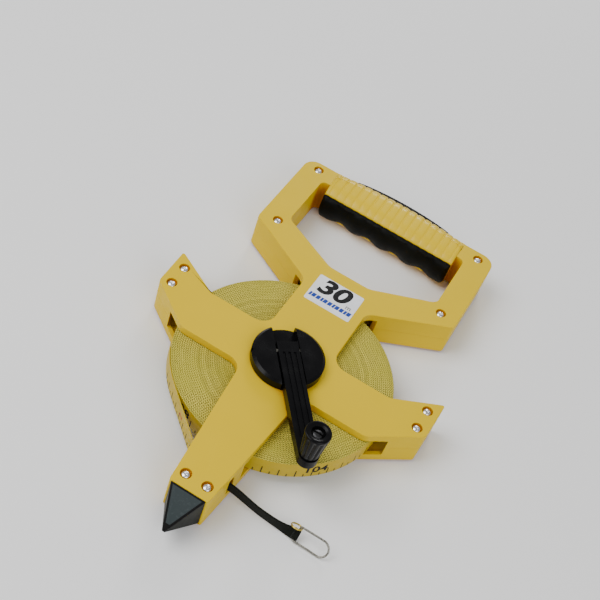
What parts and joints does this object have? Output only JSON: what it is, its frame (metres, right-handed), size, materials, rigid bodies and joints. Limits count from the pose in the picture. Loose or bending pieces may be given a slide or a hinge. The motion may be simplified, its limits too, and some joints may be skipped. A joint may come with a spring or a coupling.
{
  "type": "surveyor tape reel",
  "caption": "Open-frame reel of surveyor's tape with a D handle, folding winding crank, ground spike and a leader strap with a wire hook.",
  "frame": {"origin": "on the spool's axis, in the plane that the reel rests on when it lies on its back", "axes": "+Z out of the front face along the spool's axis, +Y towards the handle, +X to the side the strap leaves on"},
  "size_m": [0.1918, 0.3155, 0.0569],
  "materials": {
    "frame_yellow": "satin moulded, faintly textured",
    "grip_yellow": "fine ribs",
    "rubber_black": "matt",
    "label_white": "satin printed sticker",
    "spike_grey": "matt moulded",
    "steel": "bright zinc plated",
    "screw_chrome": "polished",
    "bush_nylon": "smooth",
    "crank_black": "satin moulded",
    "tape_edge": "cut edges of coated glass fibre",
    "tape_face": "coated, printed ticks and numbers",
    "brass": "polished",
    "strap_black": "coated webbing"
  },
  "bodies": {
    "frame": {"front_shell": "frame_yellow", "rear_shell": "frame_yellow", "shell_screws": "screw_chrome", "grip_front": "grip_yellow", "grip_rear": "grip_yellow", "finger_insert": "rubber_black", "grip_back_strip": "rubber_black", "label": "label_white", "ground_spike": "spike_grey", "guide_pin": "steel", "rear_cap": "crank_black", "front_bush": "bush_nylon", "rear_bush": "bush_nylon", "tape_run": "tape_face", "leader_rivet": "brass", "leader_strap": "strap_black", "strap_hem": "strap_black", "strap_ring": "brass"},
    "spool": {"spool_core": "crank_black", "axle": "steel", "hub_screw": "steel", "rear_screw": "steel", "rear_washer": "steel", "tape_coil": "tape_edge", "crank_hub": "crank_black", "crank_pin": "steel"},
    "crank": {"crank_arm": "crank_black", "knob_post": "steel", "knob_screw": "screw_chrome"},
    "knob": {"knob": "crank_black"},
    "hook": {"hook_loop": "steel"}
  },
  "joints": [
    {"name": "spool_spin", "type": "hinge", "parent": "frame", "child": "spool", "pos_m": [0, 0, 0.0145], "axis": [0, 0, 1], "continuous": true},
    {"name": "crank_fold", "type": "hinge", "parent": "spool", "child": "crank", "pos_m": [-0.00246, 0.00315, 0.0318], "axis": [-0.788, -0.6157, 0], "range_deg": [0, 180]},
    {"name": "knob_spin", "type": "hinge", "parent": "crank", "child": "knob", "pos_m": [0.04371, -0.05595, 0.046], "axis": [0, 0, 1], "continuous": true},
    {"name": "hook_swing", "type": "hinge", "parent": "frame", "child": "hook", "pos_m": [0.0608, -0.0865, 0.00445], "axis": [0, -0.6691, -0.7431], "range_deg": [0, 110]}
  ]
}
